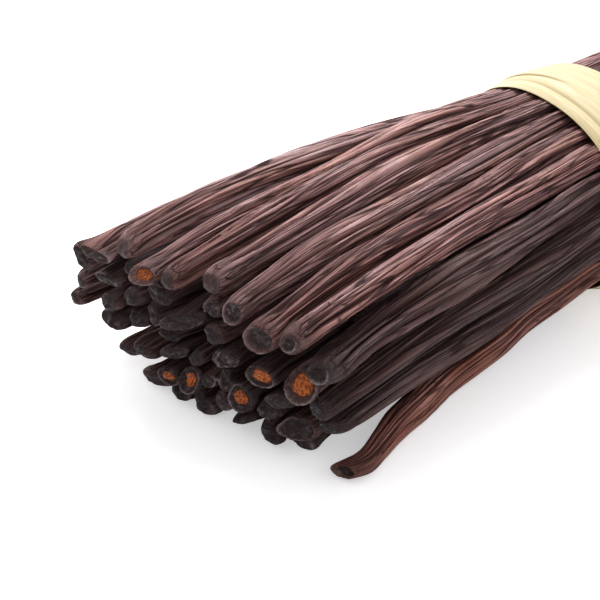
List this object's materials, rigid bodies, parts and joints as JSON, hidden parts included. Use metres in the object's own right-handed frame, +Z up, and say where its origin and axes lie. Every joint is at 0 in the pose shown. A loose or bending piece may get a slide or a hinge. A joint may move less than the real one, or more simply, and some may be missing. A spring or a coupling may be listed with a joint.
{
  "type": "bundle of vanilla pods",
  "caption": "Fanned bundle of whole cured vanilla pods lying on its side, tied round the middle with a band of raffia, with one pod lying apart at its edge.",
  "frame": {"origin": "middle of the underside's box, on the surface that the bundle lies on", "axes": "+Y along the pods from the fanned front ends to the back ends, +Z up, +X towards the pod that lies apart"},
  "size_m": [0.062, 0.1749, 0.0419],
  "materials": {
    "cured_pod": "oily wrinkled dark brown skin with a soft sheen",
    "red_brown_pod": "wrinkled reddish brown skin, drier and more matt",
    "raffia": "pale straw fibre with fine lengthwise lines"
  },
  "bodies": {
    "root": {"pod_bundle": "cured_pod", "stray_pod": "red_brown_pod", "raffia_tie": "raffia"}
  },
  "joints": []
}
